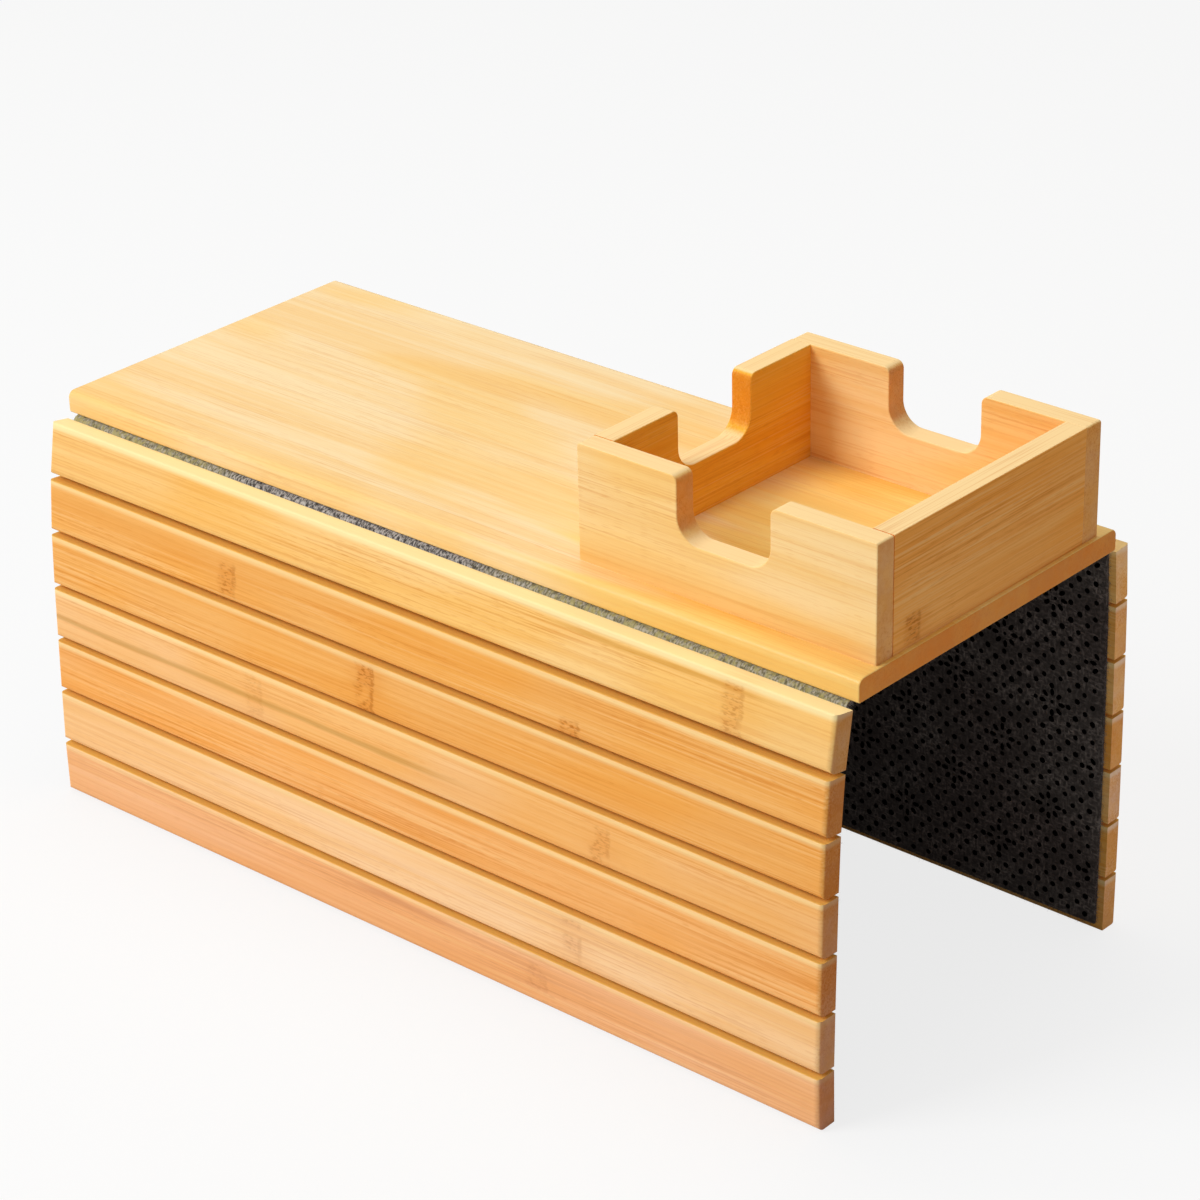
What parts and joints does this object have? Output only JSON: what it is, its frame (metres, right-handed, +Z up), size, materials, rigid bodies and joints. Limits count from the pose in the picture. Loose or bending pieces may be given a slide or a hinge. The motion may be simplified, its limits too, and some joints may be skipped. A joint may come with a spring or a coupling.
{
  "type": "sofa arm tray",
  "caption": "Bamboo tray that drapes over a sofa arm: stiff top board with a cup box, and a slatted flap hinged on felt down each side.",
  "frame": {"origin": "middle of the underside of the felt on the board, where the tray rests on the sofa's arm", "axes": "+Z up out of the board's top, +X along the arm towards the cup box, front flap on the -Y side"},
  "size_m": [0.4, 0.1879, 0.2209],
  "materials": {
    "bamboo_board": "clear satin lacquer on light bamboo",
    "bamboo_slat": "clear satin lacquer on carbonised bamboo",
    "bamboo_box": "clear satin lacquer on light bamboo",
    "felt_backing": "charcoal felt with raised non-slip dots",
    "screw_steel": "zinc plated",
    "dowel_wood": "bare wood"
  },
  "bodies": {
    "tray": {"top_board": "bamboo_board", "box_front_wall": "bamboo_box", "box_rear_wall": "bamboo_box", "box_left_wall": "bamboo_box", "box_right_wall": "bamboo_box", "box_screws": "screw_steel", "box_corner_dowels": "dowel_wood", "backing_top": "felt_backing", "front_backing_bend": "felt_backing", "rear_backing_bend": "felt_backing"},
    "front_flap_1": {"front_slat_1": "bamboo_slat", "front_backing_1": "felt_backing"},
    "front_flap_2": {"front_slat_2": "bamboo_slat", "front_backing_2": "felt_backing"},
    "front_flap_3": {"front_slat_3": "bamboo_slat", "front_backing_3": "felt_backing"},
    "front_flap_4": {"front_slat_4": "bamboo_slat", "front_backing_4": "felt_backing"},
    "front_flap_5": {"front_slat_5": "bamboo_slat", "front_backing_5": "felt_backing"},
    "front_flap_6": {"front_slat_6": "bamboo_slat", "front_backing_6": "felt_backing"},
    "front_flap_7": {"front_slat_7": "bamboo_slat", "front_backing_7": "felt_backing"},
    "rear_flap_1": {"rear_slat_1": "bamboo_slat", "rear_backing_1": "felt_backing"},
    "rear_flap_2": {"rear_slat_2": "bamboo_slat", "rear_backing_2": "felt_backing"},
    "rear_flap_3": {"rear_slat_3": "bamboo_slat", "rear_backing_3": "felt_backing"},
    "rear_flap_4": {"rear_slat_4": "bamboo_slat", "rear_backing_4": "felt_backing"},
    "rear_flap_5": {"rear_slat_5": "bamboo_slat", "rear_backing_5": "felt_backing"},
    "rear_flap_6": {"rear_slat_6": "bamboo_slat", "rear_backing_6": "felt_backing"},
    "rear_flap_7": {"rear_slat_7": "bamboo_slat", "rear_backing_7": "felt_backing"}
  },
  "joints": [
    {"name": "front_corner_hinge", "type": "hinge", "parent": "tray", "child": "front_flap_1", "pos_m": [0, -0.0784, 0.00075], "axis": [-1, 0, 0], "range_deg": [-69.7, 95.3], "deforming": ["front_backing_bend"]},
    {"name": "front_slat_2_hinge", "type": "hinge", "parent": "front_flap_1", "child": "front_flap_2", "pos_m": [0, -0.08243, -0.02281], "axis": [1, 0, 0], "range_deg": [-14.4, 40.6]},
    {"name": "front_slat_3_hinge", "type": "hinge", "parent": "front_flap_2", "child": "front_flap_3", "pos_m": [0, -0.08461, -0.04631], "axis": [1, 0, 0], "range_deg": [-12.7, 42.3]},
    {"name": "front_slat_4_hinge", "type": "hinge", "parent": "front_flap_3", "child": "front_flap_4", "pos_m": [0, -0.08568, -0.06988], "axis": [1, 0, 0], "range_deg": [-11, 44]},
    {"name": "front_slat_5_hinge", "type": "hinge", "parent": "front_flap_4", "child": "front_flap_5", "pos_m": [0, -0.08634, -0.09347], "axis": [1, 0, 0], "range_deg": [-10, 45]},
    {"name": "front_slat_6_hinge", "type": "hinge", "parent": "front_flap_5", "child": "front_flap_6", "pos_m": [0, -0.087, -0.11707], "axis": [1, 0, 0], "range_deg": [-10.4, 44.6]},
    {"name": "front_slat_7_hinge", "type": "hinge", "parent": "front_flap_6", "child": "front_flap_7", "pos_m": [0, -0.08749, -0.14066], "axis": [1, 0, 0], "range_deg": [-12, 43]},
    {"name": "rear_corner_hinge", "type": "hinge", "parent": "tray", "child": "rear_flap_1", "pos_m": [0, 0.0784, 0.00075], "axis": [-1, 0, 0], "range_deg": [-101.5, 63.5], "deforming": ["rear_backing_bend"]},
    {"name": "rear_slat_2_hinge", "type": "hinge", "parent": "rear_flap_1", "child": "rear_flap_2", "pos_m": [0, 0.07986, -0.02311], "axis": [1, 0, 0], "range_deg": [-43, 12]},
    {"name": "rear_slat_3_hinge", "type": "hinge", "parent": "rear_flap_2", "child": "rear_flap_3", "pos_m": [0, 0.08048, -0.0467], "axis": [1, 0, 0], "range_deg": [-44.3, 10.7]},
    {"name": "rear_slat_4_hinge", "type": "hinge", "parent": "rear_flap_3", "child": "rear_flap_4", "pos_m": [0, 0.08081, -0.07029], "axis": [1, 0, 0], "range_deg": [-44.5, 10.5]},
    {"name": "rear_slat_5_hinge", "type": "hinge", "parent": "rear_flap_4", "child": "rear_flap_5", "pos_m": [0, 0.08093, -0.0939], "axis": [1, 0, 0], "range_deg": [-44.7, 10.3]},
    {"name": "rear_slat_6_hinge", "type": "hinge", "parent": "rear_flap_5", "child": "rear_flap_6", "pos_m": [0, 0.08093, -0.1175], "axis": [1, 0, 0], "range_deg": [-44.5, 10.5]},
    {"name": "rear_slat_7_hinge", "type": "hinge", "parent": "rear_flap_6", "child": "rear_flap_7", "pos_m": [0, 0.08072, -0.14109], "axis": [1, 0, 0], "range_deg": [-44.5, 10.5]}
  ]
}
